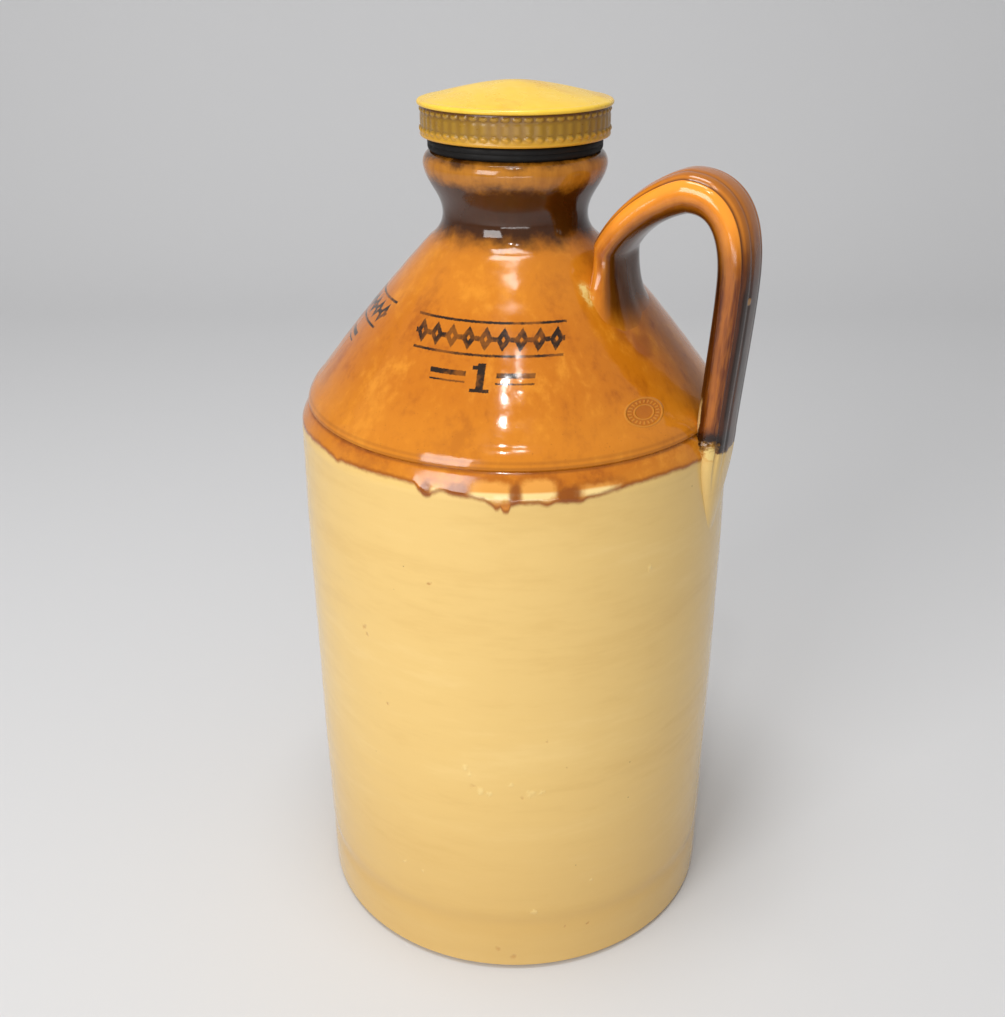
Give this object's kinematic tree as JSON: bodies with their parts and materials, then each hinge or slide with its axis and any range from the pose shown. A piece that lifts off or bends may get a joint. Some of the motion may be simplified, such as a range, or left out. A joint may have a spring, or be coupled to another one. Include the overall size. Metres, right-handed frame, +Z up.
{
  "type": "stoneware jug",
  "caption": "Tall stoneware crock jug, cream below and tan above, with a pulled strap handle and a ribbed screw stopper on a rubber ring; the stopper turns and rises on its thread.",
  "frame": {"origin": "centre of the flat base, on the jug's axis, where it rests on the floor", "axes": "+Z up the jug's axis, +X from the axis towards the handle"},
  "size_m": [0.1858, 0.1772, 0.3544],
  "materials": {
    "cream_glaze": "gloss",
    "tan_glaze": "gloss",
    "handle_glaze": "gloss",
    "black_rubber": "matte",
    "stopper_glaze": "gloss"
  },
  "bodies": {
    "crock": {"crock_body": "cream_glaze", "shoulder": "tan_glaze", "handle": "handle_glaze"},
    "ring": {"sealing_ring": "black_rubber"},
    "stopper": {"screw_stopper": "stopper_glaze"}
  },
  "joints": [
    {"name": "stopper_lift", "type": "slide", "parent": "crock", "child": "ring", "axis": [0, 0, 1], "range_m": [0, 0.0296]},
    {"name": "stopper_turn", "type": "hinge", "parent": "ring", "child": "stopper", "pos_m": [0, 0, 0.33], "axis": [0, 0, 1], "range_deg": [0, 1512]}
  ],
  "couplings": [
    {"joint": "stopper_lift", "follows": "stopper_turn", "m_per_rad": 0.0011141}
  ]
}
